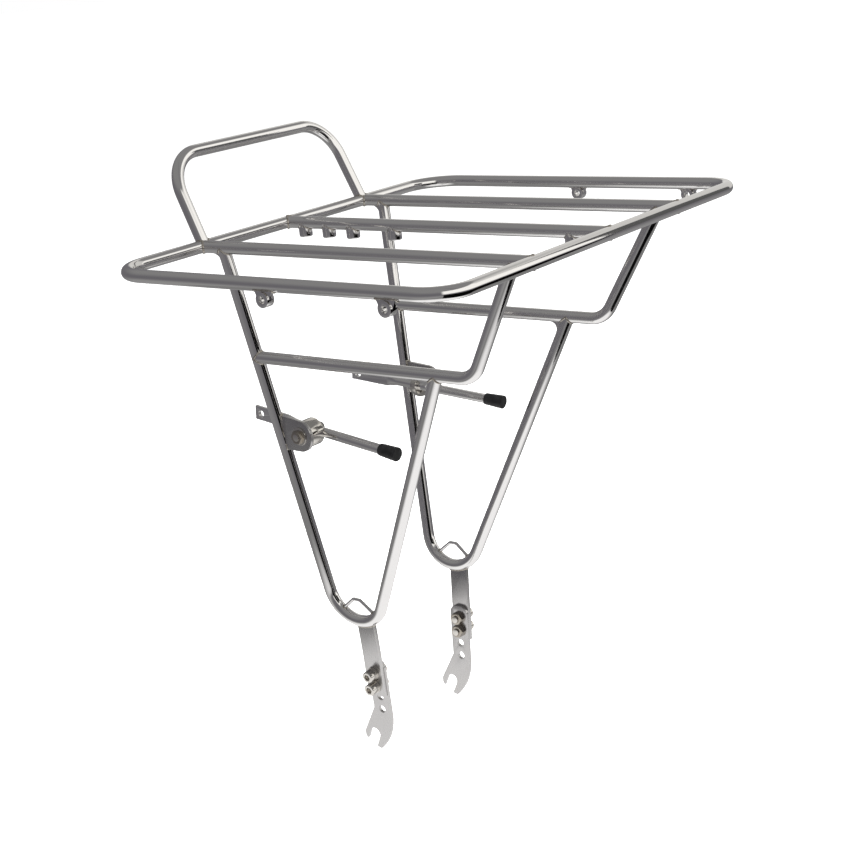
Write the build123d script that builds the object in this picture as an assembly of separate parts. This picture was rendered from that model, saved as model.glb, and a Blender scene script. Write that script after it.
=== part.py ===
from build123d import *
import math
import os

# Front cargo rack for a bicycle, in millimetres.
# The origin is the middle of the front axle: +X forward, +Y to the rider's left, +Z up.
# Left-hand pieces are modelled and the right-hand ones are their mirror images about the XZ plane.

# ---------------------------------------------------------------- driving dimensions
# Tube stock
tube_diameter = 10.0
tube_wall = 1.0

# Platform: axes of the tubes of the outer loop
platform_height = 427.0
platform_length = 311.0
platform_width = 397.0
platform_rear_x = -81.0
front_corner_radius = 25.0
rear_corner_radius = 35.0
rail_spacing = 99.5

# Rear hoop
hoop_foot_y = 98.0
hoop_top_y = 95.5
hoop_height = 69.0
hoop_setback = 31.5
hoop_bend_radius = 33.0

# Leg loops: each lies in a plane that leans in towards the wheel
leg_splay_deg = 6.17
rear_strut_top_x = -58.8
front_strut_top_x = 130.4
leg_point_x = -8.7
leg_point_height = 39.4
leg_bend_radius = 27.5

# Side rails with their risers
side_rail_drop = 89.7
riser_foot_x = 163.8
riser_top_x = 213.5
riser_bend_radius = 20.0

# Gussets
gusset_thickness = 3.0
rear_gusset_reach = 14.5
front_gusset_reach = 17.0
gusset_hollow = 0.28

# Strap eyes under the side tubes
eye_outer_diameter = 11.0
eye_hole_diameter = 5.2
eye_length = 7.0
eye_drop = 9.6
eye_offset_out = 2.4
eye_neck_thickness = 3.0
eye_neck_half_width = 8.5
eye_rear_x = 77.5
eye_front_x = 184.0

# Threaded bosses under the centre rail
boss_diameter = 11.0
boss_drop = 11.4
boss_hole_diameter = 5.0
boss_hole_depth = 5.5
boss_first_x = -62.0
boss_pitch = 25.5
boss_row_count = 3
crown_boss_x = 32.0
lamp_boss_x = 197.0
boss_edge_radius = 1.2

# Strap hooks inside the leg bends, bent from wire
hook_wire_diameter = 3.0
hook_foot_half_span = 17.0
hook_foot_drop = 19.0
hook_apex_drop = 7.7
hook_apex_half_width = 3.5
hook_bend_radius = 3.0

# Foot bars and dropout plates
foot_x = 12.2
bar_width = 17.0
bar_thickness = 4.0
bar_bottom_height = 41.5
bar_bend_height = 82.0
foot_lean_deg = 2.7
plate_width = 18.0
plate_thickness = 3.0
plate_inner_y = 56.5
plate_hole_diameter = 6.4
plate_hole_pitch = 12.0
plate_first_hole_height = 26.3
plate_hole_count = 4
bar_first_hole_height = 50.3
bar_hole_count = 2
plate_top_margin = 11.0
plate_top_radius = 7.0
notch_radius = 5.2
notch_lean_deg = 24.8
notch_reach = 20.0
# Outline of the two horns round the notch, as (x, height) from the axle; the mouth lies inside the notch
front_horn_start_drop = 4.0
front_horn_side = (15.3, -0.2)
front_horn_tip = (5.0, -13.2)
notch_mouth = (-1.5, -12.2)
rear_horn_tip = (-9.5, -6.0)
rear_horn_side = (-11.0, -2.5)
rear_horn_shoulder = (-10.4, 1.6)
horn_tip_radius = 0.9

# Plate hardware
screw_diameter = 6.0
screw_head_diameter = 10.0
screw_head_height = 6.0
screw_socket_across_flats = 5.0
screw_socket_depth = 3.5
screw_tip_proud = 1.5
washer_diameter = 11.4
washer_thickness = 1.2
spring_washer_diameter = 10.4
spring_washer_thickness = 1.6
nut_across_flats = 10.0
nut_height = 5.0
hardware_clearance = 0.1

# Stay clamps
clamp_height = 273.1
clamp_x = -16.7
stay_yaw_deg = 3.55
stay_pitch_deg = 5.9
bracket_thickness = 3.0
bracket_nose_radius = 12.8
bracket_top = 15.5
bracket_seat = 22.8
eye_bolt_offset = 17.5
eye_bolt_ring_diameter = 15.0
eye_bolt_ring_thickness = 5.0
eye_bolt_diameter = 6.0
eye_bolt_proud = 0.4
clamp_nut_height = 3.2
clamp_washer_diameter = 15.0
clamp_washer_thickness = 0.8
collar_grip = 2.0
collar_diameter = 22.5
pivot_clearance = 0.08
face_clearance = 0.1
slide_clearance = 0.05
ring_slot_clearance = 0.3

# Stays, measured along the rod from the middle of the clamp
stay_diameter = 8.0
stay_tab_end = 68.3
stay_tab_width = 12.2
stay_tab_thickness = 3.2
stay_tab_hole_diameter = 6.2
stay_tab_hole_margin = 6.5
stay_tab_corner_radius = 1.0
stay_strip_end = 31.0
stay_round_start = 20.0
stay_cap_root = 69.7
cap_length = 17.5
cap_root_diameter = 9.8
cap_tip_diameter = 11.4
cap_depth = 13.0
cap_edge_radius = 0.7

# ---------------------------------------------------------------- derived places
tube_radius = tube_diameter / 2
platform_front_x = platform_rear_x + platform_length
platform_middle_x = platform_rear_x + platform_length / 2
side_y = platform_width / 2
side_rail_height = platform_height - side_rail_drop
splay = math.radians(leg_splay_deg)
rear_strut_slope = (leg_point_x - rear_strut_top_x) / (platform_height - leg_point_height)
front_strut_slope = (front_strut_top_x - leg_point_x) / (side_rail_height - leg_point_height)
side_rail_start_x = rear_strut_top_x + rear_strut_slope * side_rail_drop
leg_half_angle = (math.atan(rear_strut_slope) + math.atan(front_strut_slope)) / 2
leg_bisector = math.atan(front_strut_slope) - leg_half_angle
leg_bend_reach = leg_bend_radius / math.sin(leg_half_angle)
bend_centre_x = leg_point_x + leg_bend_reach * math.sin(leg_bisector)
bend_centre_height = leg_point_height + leg_bend_reach * math.cos(leg_bisector)
bar_inner_y = plate_inner_y + plate_thickness
bar_outer_y = bar_inner_y + bar_thickness


def leg_y(height):
    """Distance of the leaning leg plane from the middle of the rack at a height."""
    return rail_spacing - math.tan(splay) * (platform_height - height)


def on_leg(x, height):
    """A place on the axis plane of the left leg."""
    return Vector(x, leg_y(height), height)


# Sketch X runs forward and sketch Y up the leaning plane, both from the centre of the bend.
leg_plane = Plane(
    origin=on_leg(bend_centre_x, bend_centre_height),
    x_dir=(1, 0, 0),
    z_dir=(0, -math.cos(splay), math.sin(splay)),
)


def in_leg_sketch(x, height):
    """The same place in the leg plane's own sketch coordinates."""
    return Vector(x - bend_centre_x, (height - bend_centre_height) / math.cos(splay))


def mirrored(shape):
    return mirror(shape, about=Plane.XZ)


def face_of(*corners):
    return make_face(Polyline(*corners, close=True))


# ---------------------------------------------------------------- tubes
def swept(path, section):
    return sweep(Plane(origin=path @ 0, z_dir=path % 0) * section, path)


def rod_along(path):
    """The outside of a tube as a full rod, for coping the tubes that meet it."""
    return swept(path, Circle(tube_radius))


def tube_along(path):
    return swept(path, Circle(tube_radius) - Circle(tube_radius - tube_wall))


def coped(tube, rods, keep):
    """Cut a tube with the rods that it meets and keep the piece nearest to a place."""
    for rod in rods:
        tube = tube - rod
    return min(tube.solids(), key=lambda piece: (piece.center() - Vector(*keep)).length)


# Half of the outer loop, from the middle of the front tube round to the middle of the rear one.
loop_half_path = FilletPolyline(
    (platform_front_x, 0, platform_height),
    (platform_front_x, side_y, platform_height),
    (platform_rear_x, side_y, platform_height),
    (platform_rear_x, 0, platform_height),
    radius=[front_corner_radius, rear_corner_radius],
)
loop_half_rod = rod_along(loop_half_path)
loop_rod = loop_half_rod + mirrored(loop_half_rod)
loop_half_tube = tube_along(loop_half_path)
platform_loop = loop_half_tube + mirrored(loop_half_tube)


def rail_path(y):
    return Line((platform_rear_x, y, platform_height), (platform_front_x, y, platform_height))


def rail(y):
    return coped(tube_along(rail_path(y)), [loop_rod], (platform_middle_x, y, platform_height))


rail_left = rail(rail_spacing)
rail_centre = rail(0)
rail_left_rod = rod_along(rail_path(rail_spacing))
rail_centre_rod = rod_along(rail_path(0))

hoop_top_x = platform_rear_x - hoop_setback
hoop_top_height = platform_height + hoop_height
hoop_half_path = FilletPolyline(
    (platform_rear_x, hoop_foot_y, platform_height),
    (hoop_top_x, hoop_top_y, hoop_top_height),
    (hoop_top_x, 0, hoop_top_height),
    radius=hoop_bend_radius,
)
hoop_half = coped(
    tube_along(hoop_half_path),
    [loop_half_rod, rail_left_rod],
    (hoop_top_x, hoop_top_y, hoop_top_height),
)
rear_hoop = hoop_half + mirrored(hoop_half)

# Each tube below is drawn to the axes of the tubes that it meets, and then coped to them.
rear_strut_top = on_leg(rear_strut_top_x, platform_height)
front_strut_top = on_leg(front_strut_top_x, side_rail_height)
leg_point = on_leg(leg_point_x, leg_point_height)
side_rail_start = on_leg(side_rail_start_x, side_rail_height)
riser_foot = on_leg(riser_foot_x, side_rail_height)
leg_path = FilletPolyline(rear_strut_top, leg_point, front_strut_top, radius=leg_bend_radius)
side_rail_path = FilletPolyline(
    side_rail_start, riser_foot, on_leg(riser_top_x, platform_height), radius=riser_bend_radius
)
leg_rod = rod_along(leg_path)
rear_strut_rod = rod_along(Line(rear_strut_top, leg_point))
front_strut_rod = rod_along(Line(front_strut_top, leg_point))
side_rail_straight_rod = rod_along(Line((side_rail_start + front_strut_top) / 2, riser_foot))
side_rail_left = coped(
    tube_along(side_rail_path),
    [rear_strut_rod, rail_left_rod],
    (side_rail_start + riser_foot) / 2,
)
leg_left = coped(tube_along(leg_path), [rail_left_rod, side_rail_straight_rod], leg_point)


# ---------------------------------------------------------------- gussets
def gusset(corner, toward_first, toward_second, reach, rods):
    """A thin plate with a hollow edge, in the leg plane, in the corner between two tubes.

    The corner is where the tube axes cross; the other two places lie on the axes.
    """
    first = (toward_first - corner).normalized()
    second = (toward_second - corner).normalized()
    first_face = corner + first * reach + (second - first * second.dot(first)).normalized() * tube_radius
    second_face = corner + second * reach + (first - second * first.dot(second)).normalized() * tube_radius
    chord_middle = (first_face + second_face) / 2
    hollow = chord_middle + (corner - chord_middle).normalized() * (
        (second_face - first_face).length * gusset_hollow
    )
    outline = Polyline(first_face, corner + first * reach, corner, corner + second * reach, second_face)
    face = make_face([outline, ThreePointArc(second_face, hollow, first_face)])
    plate = extrude(leg_plane * face, gusset_thickness / 2, both=True)
    for rod in rods:
        plate = plate - rod
    return max(plate.solids(), key=lambda piece: piece.volume)


leg_sketch_point = in_leg_sketch(leg_point_x, leg_point_height)
rear_gusset_left = gusset(
    in_leg_sketch(rear_strut_top_x, platform_height),
    in_leg_sketch(platform_rear_x, platform_height),
    leg_sketch_point,
    rear_gusset_reach,
    [rail_left_rod, rear_strut_rod],
)
front_gusset_left = gusset(
    in_leg_sketch(front_strut_top_x, side_rail_height),
    in_leg_sketch(side_rail_start_x, side_rail_height),
    leg_sketch_point,
    front_gusset_reach,
    [side_rail_straight_rod, front_strut_rod],
)


# ---------------------------------------------------------------- strap eyes and bosses
def strap_eye(x):
    """A short tube across the rack, hung under the left side tube by a flared neck."""
    ring = Circle(eye_outer_diameter / 2)
    neck_top = eye_drop - tube_radius / 2
    neck = face_of(
        (-eye_neck_half_width, neck_top),
        (eye_neck_half_width, neck_top),
        (eye_outer_diameter / 2, 0),
        (-eye_outer_diameter / 2, 0),
    )
    hole = Circle(eye_hole_diameter / 2)
    across = Plane(
        origin=(x, side_y + eye_offset_out, platform_height - eye_drop),
        x_dir=(1, 0, 0),
        z_dir=(0, -1, 0),
    )
    body = extrude(across * (ring - hole), eye_length / 2, both=True)
    body += extrude(across * (neck + ring - hole), eye_neck_thickness / 2, both=True)
    return body - loop_rod


def boss(x):
    """A threaded boss that hangs under the centre rail."""
    bottom = Plane(origin=(x, 0, platform_height - boss_drop))
    body = extrude(bottom * Circle(boss_diameter / 2), boss_drop)
    body = fillet(body.edges().group_by(Axis.Z)[0], boss_edge_radius)
    body -= extrude(bottom * Circle(boss_hole_diameter / 2), boss_hole_depth)
    body -= rail_centre_rod
    return min(body.solids(), key=lambda piece: piece.center().Z)


row_boss_xs = [boss_first_x + index * boss_pitch for index in range(boss_row_count)]


# ---------------------------------------------------------------- strap hooks
hook_path = FilletPolyline(
    (-hook_foot_half_span, -hook_foot_drop, 0),
    (-hook_apex_half_width, -hook_apex_drop, 0),
    (hook_apex_half_width, -hook_apex_drop, 0),
    (hook_foot_half_span, -hook_foot_drop, 0),
    radius=hook_bend_radius,
)
hook_wire = leg_plane * swept(hook_path, Circle(hook_wire_diameter / 2))
strap_hook_left = coped(hook_wire, [leg_rod], (bend_centre_x, leg_y(bend_centre_height), bend_centre_height))


# ---------------------------------------------------------------- foot bars and dropout plates
def facing_out(x, y, height):
    """A plane across the rack whose normal points away from the wheel on the left side."""
    return Plane(origin=(x, y, height), x_dir=(-1, 0, 0), z_dir=(0, 1, 0))


def foot_holes(heights, y, thickness):
    """Clearance holes through a foot piece that starts at y and is that thick."""
    holes = [
        extrude(facing_out(foot_x, y, height) * Circle(plate_hole_diameter / 2), thickness)
        for height in heights
    ]
    return Part() + holes


plate_hole_heights = [
    plate_first_hole_height + index * plate_hole_pitch for index in range(plate_hole_count)
]
screw_heights = [bar_first_hole_height + index * plate_hole_pitch for index in range(bar_hole_count)]

# Foot pieces are drawn upright and then lean in together about the lowest screw.
foot_lean = math.radians(foot_lean_deg)
foot_hinge = Axis((foot_x, bar_inner_y, bar_first_hole_height), (1, 0, 0))


def leaned(shape):
    return shape.rotate(foot_hinge, -foot_lean_deg)


def leaned_place(y, height):
    """Where a place on the upright pieces goes, as (y, height)."""
    out = y - bar_inner_y
    rise = height - bar_first_hole_height
    return (
        bar_inner_y + out * math.cos(foot_lean) + rise * math.sin(foot_lean),
        bar_first_hole_height + rise * math.cos(foot_lean) - out * math.sin(foot_lean),
    )


# The bar follows the leg plane out of the bend, then leans less beside the fork end.
bar_top_height = bend_centre_height - leg_bend_radius * math.cos(splay) + tube_radius / 2
bar_top_shift = leg_y(bar_top_height) - (bar_inner_y + bar_thickness / 2)
bar_profile = face_of(
    leaned_place(bar_inner_y, bar_bottom_height),
    leaned_place(bar_outer_y, bar_bottom_height),
    leaned_place(bar_outer_y, bar_bend_height),
    (bar_outer_y + bar_top_shift, bar_top_height),
    (bar_inner_y + bar_top_shift, bar_top_height),
    leaned_place(bar_inner_y, bar_bend_height),
)
bar_section = Plane(origin=(foot_x, 0, 0), x_dir=(0, 1, 0), z_dir=(1, 0, 0)) * bar_profile
foot_bar_left = extrude(bar_section, bar_width / 2, both=True) - leg_rod
foot_bar_left -= leaned(foot_holes(screw_heights, bar_inner_y, bar_thickness))
foot_bar_left = max(foot_bar_left.solids(), key=lambda piece: piece.volume)

plate_rear_x = foot_x - plate_width / 2
plate_front_x = foot_x + plate_width / 2
plate_top_height = plate_hole_heights[-1] + plate_top_margin
front_horn_start = (plate_front_x, plate_first_hole_height - front_horn_start_drop)
rear_horn_start = (plate_rear_x, plate_first_hole_height)
plate_outline = [
    Polyline(
        rear_horn_start,
        (plate_rear_x, plate_top_height),
        (plate_front_x, plate_top_height),
        front_horn_start,
    ),
    ThreePointArc(front_horn_start, front_horn_side, front_horn_tip),
    Polyline(front_horn_tip, notch_mouth, rear_horn_tip),
    ThreePointArc(rear_horn_tip, rear_horn_side, rear_horn_shoulder),
    Line(rear_horn_shoulder, rear_horn_start),
]
notch_slot = Rot(Z=-notch_lean_deg) * Pos(Y=-notch_reach / 2) * Rectangle(2 * notch_radius, notch_reach)
plate_face = make_face(plate_outline) - Circle(notch_radius) - notch_slot
plate_top_corners = plate_face.vertices().group_by(Axis.Y)[-1]
plate_face = fillet(plate_top_corners, plate_top_radius)
front_horn_corners = plate_face.vertices().filter_by(lambda corner: corner.Y < 2 * rear_horn_tip[1])
plate_face = fillet(front_horn_corners, horn_tip_radius)
# The edges of the plate stay square to the wheel's plane, so that the notch fits round the axle.
plate_column = extrude(Plane.XZ * plate_face, -2 * bar_outer_y)
plate_slab = Pos(foot_x, plate_inner_y + plate_thickness / 2, 0) * Box(
    4 * plate_width, plate_thickness, 4 * plate_top_height
)
dropout_plate_left = plate_column & leaned(plate_slab)
dropout_plate_left -= leaned(foot_holes(plate_hole_heights, plate_inner_y, plate_thickness))


# ---------------------------------------------------------------- plate hardware
def hexagon(across_flats):
    return RegularPolygon(across_flats / math.sqrt(3), 6)


def hex_nut(across_flats, height, bore_diameter):
    """A nut that stands on the XY plane, with the corners of its top turned down."""
    corner_radius = across_flats / math.sqrt(3)
    turned = chamfer(Cylinder(corner_radius, height).edges().group_by(Axis.Z)[-1], height / 7)
    nut = extrude(hexagon(across_flats), height) & Pos(Z=height / 2) * turned
    return nut - extrude(Circle(bore_diameter / 2), height)


def ring_washer(outer_diameter, thickness, bore_diameter):
    return extrude(Circle(outer_diameter / 2) - Circle(bore_diameter / 2), thickness)


def cap_screw(length_under_head):
    """A socket cap screw with its head standing on the XY plane and its shank below it."""
    head = extrude(Circle(screw_head_diameter / 2), screw_head_height)
    head = chamfer(head.edges().group_by(Axis.Z)[-1], screw_head_height / 10)
    socket = extrude(hexagon(screw_socket_across_flats), screw_socket_depth)
    shank = extrude(Circle(screw_diameter / 2), -length_under_head)
    return head + shank - Pos(Z=screw_head_height - screw_socket_depth) * socket


fastener_bore = screw_diameter + hardware_clearance
spring_washer_y = bar_outer_y + washer_thickness
head_y = spring_washer_y + spring_washer_thickness
nut_y = plate_inner_y - nut_height
screw_length = head_y - nut_y + screw_tip_proud


def at_screws(y, piece):
    """One copy of a piece on each screw's axis, standing outwards from y before the lean."""
    return leaned(Part() + [facing_out(foot_x, y, height) * piece for height in screw_heights])


plate_screws_left = at_screws(head_y, cap_screw(screw_length))
plate_washers_left = at_screws(bar_outer_y, ring_washer(washer_diameter, washer_thickness, fastener_bore))
plate_spring_washers_left = at_screws(
    spring_washer_y,
    ring_washer(spring_washer_diameter, spring_washer_thickness, fastener_bore),
)
plate_nut = Rot(X=180) * hex_nut(nut_across_flats, nut_height, fastener_bore)
plate_nuts_left = at_screws(plate_inner_y, plate_nut)


# ---------------------------------------------------------------- stay clamps
yaw = math.radians(stay_yaw_deg)
pitch = math.radians(stay_pitch_deg)
strut_x = rear_strut_top_x + rear_strut_slope * (platform_height - clamp_height)
bracket_y = leg_y(clamp_height) + (clamp_x - strut_x) * math.tan(yaw)
forward = Vector(math.cos(yaw), math.sin(yaw), 0)
inward = Vector(math.sin(yaw), -math.cos(yaw), 0)
# Sketch X runs forward along the bracket, sketch Y up, and the normal in towards the wheel.
clamp_plane = Plane(origin=(clamp_x, bracket_y, clamp_height), x_dir=forward, z_dir=inward)
eye_centre = clamp_plane.origin + inward * eye_bolt_offset
stay_direction = forward * math.cos(pitch) - Vector(0, 0, math.sin(pitch))
# Stay pieces are drawn along Z, with X in towards the wheel.
stay_plane = Plane(origin=eye_centre, x_dir=inward, z_dir=stay_direction)

bracket_back = Line((-bracket_seat, bracket_top), (-bracket_seat, -bracket_nose_radius))
bracket_nose = Edge.make_circle(bracket_nose_radius)
bracket_face = make_hull([bracket_back.edge(), bracket_nose])
bracket_face -= Circle(eye_bolt_diameter / 2 + pivot_clearance)
clamp_bracket_left = extrude(clamp_plane * bracket_face, bracket_thickness / 2, both=True)
clamp_bracket_left -= rear_strut_rod
clamp_bracket_left = max(clamp_bracket_left.solids(), key=lambda piece: piece.volume)

stay_bore = extrude(Circle(stay_diameter / 2 + slide_clearance), collar_diameter, both=True)
ring = extrude(Circle(eye_bolt_ring_diameter / 2), eye_bolt_ring_thickness / 2, both=True)
bracket_half = bracket_thickness / 2
washer_start = bracket_half + face_clearance
nut_start = washer_start + clamp_washer_thickness
stud_end = nut_start + clamp_nut_height + eye_bolt_proud
stud_length = eye_bolt_offset - stay_diameter / 2 + stud_end
stud = Pos(Z=-stud_end) * extrude(Circle(eye_bolt_diameter / 2), stud_length)
eye_bolt_left = stay_plane * ring + clamp_plane * stud - stay_plane * stay_bore

collar_end = eye_bolt_offset - collar_grip
collar = Pos(Z=washer_start) * extrude(Circle(collar_diameter / 2), collar_end - washer_start)
collar_bore = extrude(Circle(eye_bolt_diameter / 2 + hardware_clearance), eye_bolt_offset)
ring_slot = extrude(
    Circle(eye_bolt_ring_diameter / 2 + ring_slot_clearance),
    eye_bolt_ring_thickness / 2 + ring_slot_clearance,
    both=True,
)
clamp_collar_left = (
    clamp_plane * (collar - collar_bore) - stay_plane * ring_slot - stay_plane * stay_bore
)

clamp_bore = eye_bolt_diameter + hardware_clearance
clamp_washer = ring_washer(clamp_washer_diameter, clamp_washer_thickness, clamp_bore)
clamp_washer_left = clamp_plane * Pos(Z=-nut_start) * clamp_washer
clamp_nut = Rot(X=180) * hex_nut(nut_across_flats, clamp_nut_height, clamp_bore)
clamp_nut_left = clamp_plane * Pos(Z=-nut_start) * clamp_nut


# ---------------------------------------------------------------- stays
tab_section = RectangleRounded(stay_tab_thickness, stay_tab_width, stay_tab_corner_radius)
tab = Pos(Z=-stay_tab_end) * extrude(tab_section, stay_tab_end - stay_strip_end)
taper = loft([Pos(Z=-stay_strip_end) * tab_section, Pos(Z=-stay_round_start) * Circle(stay_diameter / 2)])
rod_end = stay_cap_root + cap_depth
rod = Pos(Z=-stay_round_start) * extrude(Circle(stay_diameter / 2), stay_round_start + rod_end)
tab_hole_plane = Plane(origin=(0, 0, stay_tab_hole_margin - stay_tab_end), z_dir=(1, 0, 0))
tab_hole = extrude(tab_hole_plane * Circle(stay_tab_hole_diameter / 2), stay_tab_width, both=True)
stay_left = stay_plane * (tab + taper + rod - tab_hole)

cap_end = stay_cap_root + cap_length
cap_half_section = face_of(
    (0, stay_cap_root),
    (cap_root_diameter / 2, stay_cap_root),
    (cap_tip_diameter / 2, cap_end),
    (0, cap_end),
)
cap_outer_corners = cap_half_section.vertices().filter_by(lambda corner: corner.X > 1)
cap_half_section = fillet(cap_outer_corners, cap_edge_radius)
cap_solid = revolve(Plane.XZ * cap_half_section, Axis.Z)
cap_bore = Pos(Z=stay_cap_root) * extrude(Circle(stay_diameter / 2), cap_depth)
stay_cap_left = stay_plane * (cap_solid - cap_bore)


# ---------------------------------------------------------------- nodes
nodes = {
    "platform_loop": platform_loop,
    "rail_centre": rail_centre,
    "rear_hoop": rear_hoop,
    "crown_boss": boss(crown_boss_x),
    "lamp_boss": boss(lamp_boss_x),
}
for number, boss_x in enumerate(row_boss_xs, start=1):
    nodes[f"rail_boss_{number}"] = boss(boss_x)

left_pieces = {
    "rail": rail_left,
    "leg": leg_left,
    "side_rail": side_rail_left,
    "rear_gusset": rear_gusset_left,
    "front_gusset": front_gusset_left,
    "strap_eye_rear": strap_eye(eye_rear_x),
    "strap_eye_front": strap_eye(eye_front_x),
    "strap_hook": strap_hook_left,
    "foot_bar": foot_bar_left,
    "dropout_plate": dropout_plate_left,
    "plate_screws": plate_screws_left,
    "plate_washers": plate_washers_left,
    "plate_spring_washers": plate_spring_washers_left,
    "plate_nuts": plate_nuts_left,
    "clamp_bracket": clamp_bracket_left,
    "eye_bolt": eye_bolt_left,
    "clamp_collar": clamp_collar_left,
    "clamp_washer": clamp_washer_left,
    "clamp_nut": clamp_nut_left,
    "stay": stay_left,
    "stay_cap": stay_cap_left,
}
for name, piece in left_pieces.items():
    nodes[f"{name}_left"] = piece
    nodes[f"{name}_right"] = mirrored(piece)

os.makedirs("parts", exist_ok=True)
for name, piece in nodes.items():
    export_step(piece, f"parts/{name}.step")
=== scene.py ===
"""Looks of a bicycle front cargo rack: buffed stainless tube, satin strip, turned clamps and rubber caps.

Every length is in millimetres and becomes metres where a mesh is made. The frame is the axle's: +X forward,
+Y to the rider's left, +Z up. Left-hand pieces are built from their sizes and right-hand ones mirror them.
"""

import logging
import math
from dataclasses import dataclass, field
from enum import Enum
from typing import Any

import bmesh
import bpy
from mathutils import Matrix, Vector


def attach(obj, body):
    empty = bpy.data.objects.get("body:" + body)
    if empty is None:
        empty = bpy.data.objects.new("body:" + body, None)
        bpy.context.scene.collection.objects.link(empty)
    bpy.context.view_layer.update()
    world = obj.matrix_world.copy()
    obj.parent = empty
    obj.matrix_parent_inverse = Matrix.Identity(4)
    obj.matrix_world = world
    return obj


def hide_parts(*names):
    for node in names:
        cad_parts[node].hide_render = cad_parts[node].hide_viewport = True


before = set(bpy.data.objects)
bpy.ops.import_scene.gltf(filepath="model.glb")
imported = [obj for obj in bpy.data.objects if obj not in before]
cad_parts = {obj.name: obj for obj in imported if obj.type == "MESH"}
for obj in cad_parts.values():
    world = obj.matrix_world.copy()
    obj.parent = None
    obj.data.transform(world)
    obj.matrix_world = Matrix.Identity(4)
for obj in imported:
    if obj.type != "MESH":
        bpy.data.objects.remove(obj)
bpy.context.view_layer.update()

MM = 0.001
LOG = logging.getLogger("rack")
BEND_STEPS = 24  # straight runs round each bend of a tube
COPE_STEPS = 72  # points round a coped end
END_CORNERS = 5  # a face with at least this many corners closes a tube's end; its wall has four
BEAD_STEP = 0.00028  # metres between the rings of a weld bead
BEAD_SIDES = 12


# ---------------- small tools
def linear(hex_colour: str) -> tuple[float, float, float, float]:
    """Turns an sRGB hex value into linear colour.

    Args:
        hex_colour: six hex digits after a hash sign.

    Returns:
        Linear red, green and blue, and an alpha of one.
    """
    parts = [int(hex_colour[i : i + 2], 16) / 255 for i in (1, 3, 5)]
    red, green, blue = (c / 12.92 if c <= 0.04045 else ((c + 0.055) / 1.055) ** 2.4 for c in parts)
    return (red, green, blue, 1.0)


def add(
    tree: bpy.types.NodeTree, kind: str, inputs: dict[int | str, Any] | None = None, **settings: Any
) -> Any:
    """Adds a node, sets it up and links it.

    Args:
        tree: the tree that takes the node.
        kind: the node's type name.
        inputs: input name or number to a plain value, or to a socket that is linked to it.
        settings: properties of the node, set before its inputs.

    Returns:
        The node.
    """
    node = tree.nodes.new(kind)
    for name, value in settings.items():
        setattr(node, name, value)
    for key, value in (inputs or {}).items():
        if isinstance(value, bpy.types.NodeSocket):
            tree.links.new(value, node.inputs[key])
        else:
            node.inputs[key].default_value = value
    return node


class Side(Enum):
    """The rider's left, which is +Y, and right."""

    LEFT = 1
    RIGHT = -1

    def of(self, place: Vector) -> Vector:
        """A place on the left brought to this side."""
        return Vector((place.x, place.y * self.value, place.z))

    @property
    def word(self) -> str:
        """The name's ending for this side."""
        return self.name.lower()


# ---------------- finishes
@dataclass(frozen=True)
class Finish:
    """A surface in plain terms. Subclasses add the pattern that the making leaves."""

    name: str
    colour: str
    roughness: float
    metallic: float = 1.0

    def pattern(self, tree: bpy.types.NodeTree, coordinates: Any) -> dict[str, Any]:
        """Adds the finish's own pattern; the plain finish has none.

        Args:
            tree: the material's node tree.
            coordinates: the piece's own coordinates.

        Returns:
            Shader input to the socket that drives it.
        """
        return {}

    def material(self) -> bpy.types.Material:
        """Makes the material, or returns it if it was made before.

        Returns:
            The material of this finish.
        """
        made = bpy.data.materials.get(self.name)
        if made:
            return made
        made = bpy.data.materials.new(self.name)
        made.use_nodes = True
        tree = made.node_tree
        shader = tree.nodes["Principled BSDF"]
        shader.inputs["Base Color"].default_value = linear(self.colour)
        shader.inputs["Metallic"].default_value = self.metallic
        shader.inputs["Roughness"].default_value = self.roughness
        coordinates = add(tree, "ShaderNodeTexCoord").outputs["Object"]
        for label, socket in self.pattern(tree, coordinates).items():
            tree.links.new(socket, shader.inputs[label])
        return made


@dataclass(frozen=True)
class BuffedTube(Finish):
    """Drawn 304 stainless tube, buffed bright on a belt: sharp reflections that waver along the tube."""

    waver_mm: float = 45.0
    waver_height_mm: float = 0.05
    scuff_mm: float = 1.6
    smoothest: float = 0.8
    roughest: float = 1.5

    def pattern(self, tree: bpy.types.NodeTree, coordinates: Any) -> dict[str, Any]:
        """Long soft waves in the wall, and a haze that comes and goes where the belt pressed less.

        Args:
            tree: the material's node tree.
            coordinates: the piece's own coordinates.

        Returns:
            Shader input to the socket that drives it.
        """
        wave = add(
            tree,
            "ShaderNodeTexNoise",
            {"Vector": coordinates, "Scale": 1 / (self.waver_mm * MM), "Detail": 1.0},
        )
        haze = add(
            tree,
            "ShaderNodeTexNoise",
            {"Vector": coordinates, "Scale": 1 / (self.scuff_mm * MM), "Detail": 3.0, "Roughness": 0.6},
        )
        rough = add(
            tree,
            "ShaderNodeMapRange",
            {
                "Value": haze.outputs["Fac"],
                "From Min": 0.35,
                "From Max": 0.7,
                "To Min": self.roughness * self.smoothest,
                "To Max": self.roughness * self.roughest,
            },
        )
        bump = add(
            tree,
            "ShaderNodeBump",
            {"Height": wave.outputs["Fac"], "Strength": 1.0, "Distance": self.waver_height_mm * MM},
        )
        return {"Roughness": rough.outputs["Result"], "Normal": bump.outputs["Normal"]}


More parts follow.
